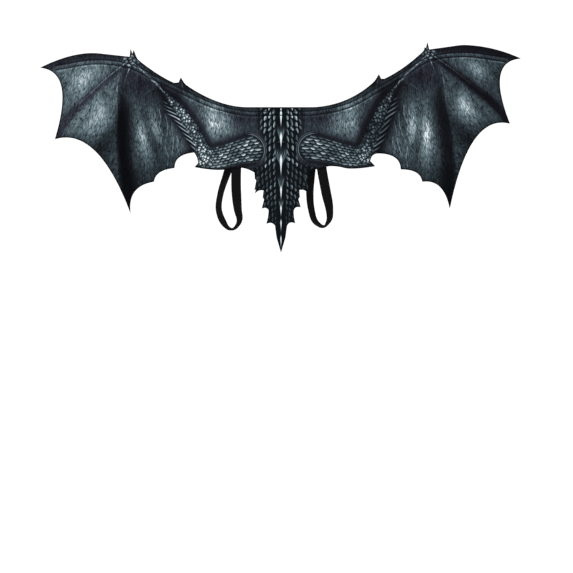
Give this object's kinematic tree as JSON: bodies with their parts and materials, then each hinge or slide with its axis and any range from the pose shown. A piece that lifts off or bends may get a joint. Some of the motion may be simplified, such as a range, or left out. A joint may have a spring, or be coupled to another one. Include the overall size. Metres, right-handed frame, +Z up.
{
  "type": "costume dragon wings",
  "caption": "Printed felt dragon wings in one cut with a spiked tail, a wire casing along the top edge to hold their shape and elastic loops for the arms.",
  "frame": {"origin": "middle of the neck edge, on the inner face of the felt that lies on the wearer's back", "axes": "+X to the wearer's right along the span, +Y towards the wearer, +Z up"},
  "size_m": [1.05, 0.0677, 0.46],
  "materials": {
    "printed_felt": "matte printed non-woven felt",
    "black_tape": "matte woven tape",
    "black_elastic": "matte ribbed elastic"
  },
  "bodies": {
    "root": {"wing_panel": "printed_felt", "wire_casing": "black_tape", "arm_strap_left": "black_elastic", "arm_strap_right": "black_elastic"}
  },
  "joints": []
}
